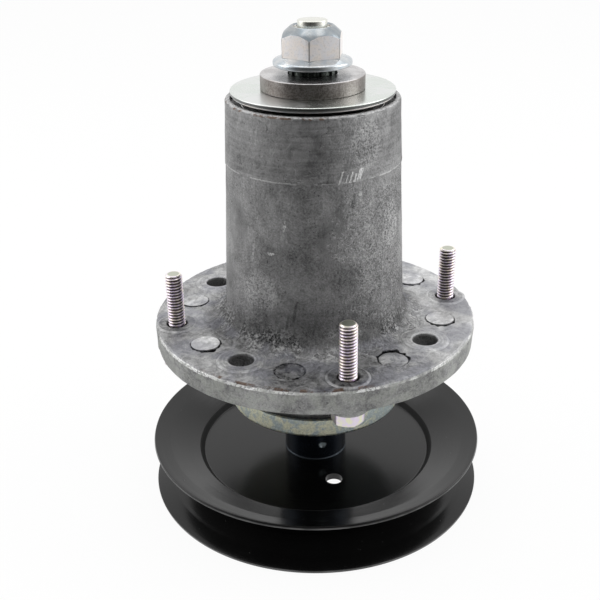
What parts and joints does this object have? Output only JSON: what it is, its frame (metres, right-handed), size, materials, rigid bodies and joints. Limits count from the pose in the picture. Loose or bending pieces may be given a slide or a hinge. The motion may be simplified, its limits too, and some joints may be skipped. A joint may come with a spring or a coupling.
{
  "type": "mower deck spindle",
  "caption": "Flanged cast housing on ball bearings that carries a mower blade at one end of its shaft and a V-belt pulley at the other.",
  "frame": {"origin": "on the shaft's axis, in the plane of the pulley's lower rim, where the part stands", "axes": "+Z along the shaft towards the blade nut; the four flange bolts lie on the X and Y axes"},
  "size_m": [0.1588, 0.1588, 0.2202],
  "materials": {
    "cast_aluminium": "rough die-cast surface, swirled and mottled",
    "bright_zinc": "bright zinc plate",
    "yellow_zinc": "mottled yellow-green zinc plate",
    "rainbow_zinc": "iridescent zinc plate on rolled threads",
    "turned_steel": "bare turned steel",
    "bearing_steel": "ground and polished steel",
    "plastic": "moulded polyamide",
    "rubber": "moulded seal rubber",
    "black_paint": "satin black paint on pressed steel",
    "black_oxide": "glossy black finish on turned steel"
  },
  "bodies": {
    "housing": {"spindle_housing": "cast_aluminium", "flange_bolts": "rainbow_zinc", "lower_bearing_outer_ring": "bearing_steel", "lower_bearing_bottom_seal": "rubber", "lower_bearing_top_seal": "rubber", "upper_bearing_outer_ring": "bearing_steel", "upper_bearing_bottom_seal": "rubber", "upper_bearing_top_seal": "rubber"},
    "rotor": {"spindle_shaft": "bright_zinc", "bearing_spacer": "turned_steel", "lower_collar": "turned_steel", "upper_collar": "turned_steel", "shield_backing_washer": "bright_zinc", "blade_end_shield": "bright_zinc", "blade_washer": "turned_steel", "blade_nut": "bright_zinc", "lower_dust_cup": "yellow_zinc", "pulley_upper_half": "black_paint", "pulley_lower_half": "black_paint", "pulley_hub": "black_oxide", "pulley_key": "turned_steel", "pulley_washer": "bright_zinc", "pulley_nut": "bright_zinc", "lower_bearing_inner_ring": "bearing_steel", "upper_bearing_inner_ring": "bearing_steel"},
    "lower_ball_set": {"lower_bearing_balls": "bearing_steel", "lower_bearing_cage": "plastic"},
    "upper_ball_set": {"upper_bearing_balls": "bearing_steel", "upper_bearing_cage": "plastic"}
  },
  "joints": [
    {"name": "spindle_spin", "type": "hinge", "parent": "housing", "child": "rotor", "pos_m": [0, 0, 0.0127], "axis": [0, 0, 1], "continuous": true},
    {"name": "lower_balls_orbit", "type": "hinge", "parent": "housing", "child": "lower_ball_set", "pos_m": [0, 0, 0.0605], "axis": [0, 0, 1], "continuous": true},
    {"name": "upper_balls_orbit", "type": "hinge", "parent": "housing", "child": "upper_ball_set", "pos_m": [0, 0, 0.1786], "axis": [0, 0, 1], "continuous": true}
  ],
  "couplings": [
    {"joint": "lower_balls_orbit", "follows": "spindle_spin", "ratio": 0.36782},
    {"joint": "upper_balls_orbit", "follows": "spindle_spin", "ratio": 0.36782}
  ]
}
